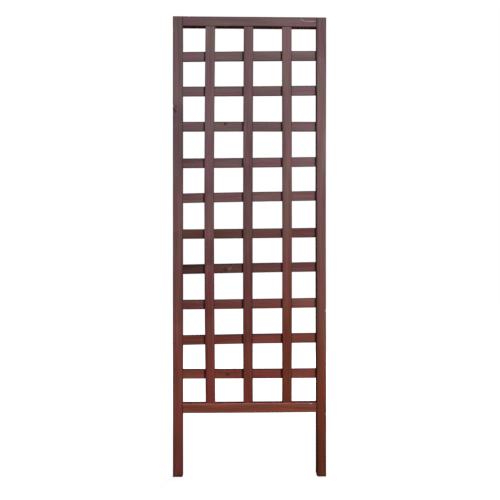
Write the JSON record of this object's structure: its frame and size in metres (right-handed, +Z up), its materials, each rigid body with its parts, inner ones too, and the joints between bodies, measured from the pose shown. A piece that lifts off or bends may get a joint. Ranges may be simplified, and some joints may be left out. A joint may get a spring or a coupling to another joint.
{
  "type": "trellis panel",
  "caption": "Tall framed wooden trellis panel on two legs: grooved stiles and rails hold a square lattice of slats for climbing plants.",
  "frame": {"origin": "on the ground, midway between the two legs and midway through the frame's depth", "axes": "+Z up along the stiles, +X across the panel to the right, -Y towards the front with the uprights"},
  "size_m": [0.6, 0.038, 1.8],
  "materials": {
    "frame_wood": "red-brown stain, satin",
    "upright_wood": "red-brown stain, satin",
    "cross_wood": "red-brown stain, satin",
    "screw_zinc": "zinc plated",
    "staple_zinc": "galvanised wire"
  },
  "bodies": {
    "root": {"left_stile": "frame_wood", "right_stile": "frame_wood", "top_rail": "frame_wood", "bottom_rail": "frame_wood", "upright_slat_1": "upright_wood", "upright_slat_2": "upright_wood", "upright_slat_3": "upright_wood", "cross_slat_01": "cross_wood", "cross_slat_02": "cross_wood", "cross_slat_03": "cross_wood", "cross_slat_04": "cross_wood", "cross_slat_05": "cross_wood", "cross_slat_06": "cross_wood", "cross_slat_07": "cross_wood", "cross_slat_08": "cross_wood", "cross_slat_09": "cross_wood", "cross_slat_10": "cross_wood", "top_rail_screws": "screw_zinc", "bottom_rail_screws": "screw_zinc", "crossing_staples_1": "staple_zinc", "crossing_staples_2": "staple_zinc", "crossing_staples_3": "staple_zinc"}
  },
  "joints": []
}
